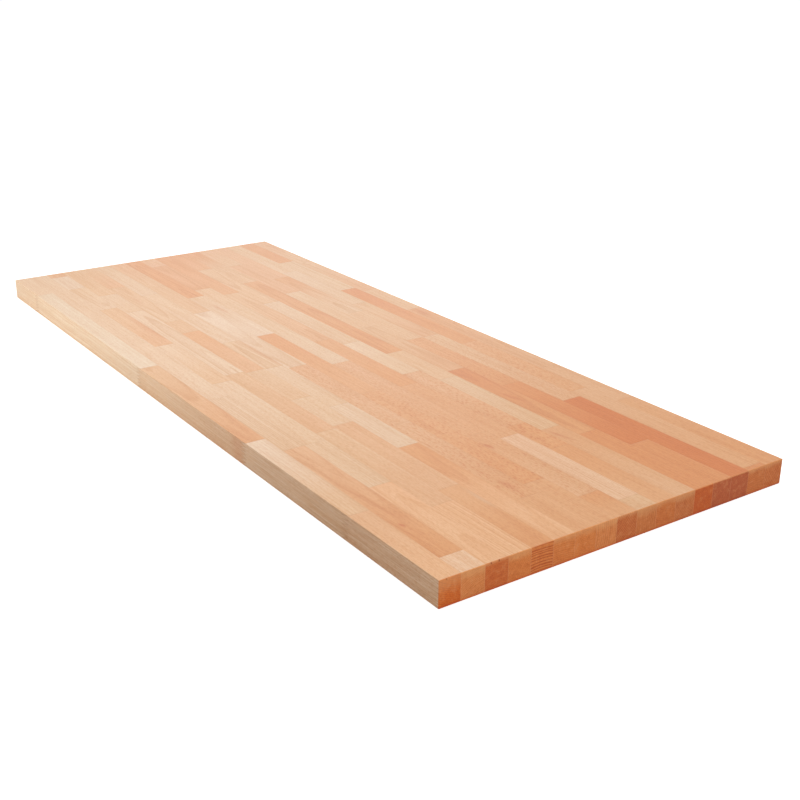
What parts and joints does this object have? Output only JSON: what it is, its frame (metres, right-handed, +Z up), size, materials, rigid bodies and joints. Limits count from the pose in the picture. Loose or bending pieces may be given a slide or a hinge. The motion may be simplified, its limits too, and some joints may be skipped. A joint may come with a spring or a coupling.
{
  "type": "solid wood workbench top",
  "caption": "Flat solid wood top glued up from rows of finger-jointed staves, used as a workbench or counter surface.",
  "frame": {"origin": "centre of the underside, where the top rests on its frame or on the floor", "axes": "+X along the staves and the long edges, +Y across the rows, +Z up through the thickness"},
  "size_m": [1.5, 0.6, 0.038],
  "materials": {
    "beech": "sanded, unfinished or lightly oiled"
  },
  "bodies": {
    "root": {"stave_row_01": "beech", "stave_row_02": "beech", "stave_row_03": "beech", "stave_row_04": "beech", "stave_row_05": "beech", "stave_row_06": "beech", "stave_row_07": "beech", "stave_row_08": "beech", "stave_row_09": "beech", "stave_row_10": "beech", "stave_row_11": "beech", "stave_row_12": "beech", "stave_row_13": "beech", "stave_row_14": "beech", "stave_row_15": "beech", "stave_row_16": "beech", "stave_row_17": "beech"}
  },
  "joints": []
}
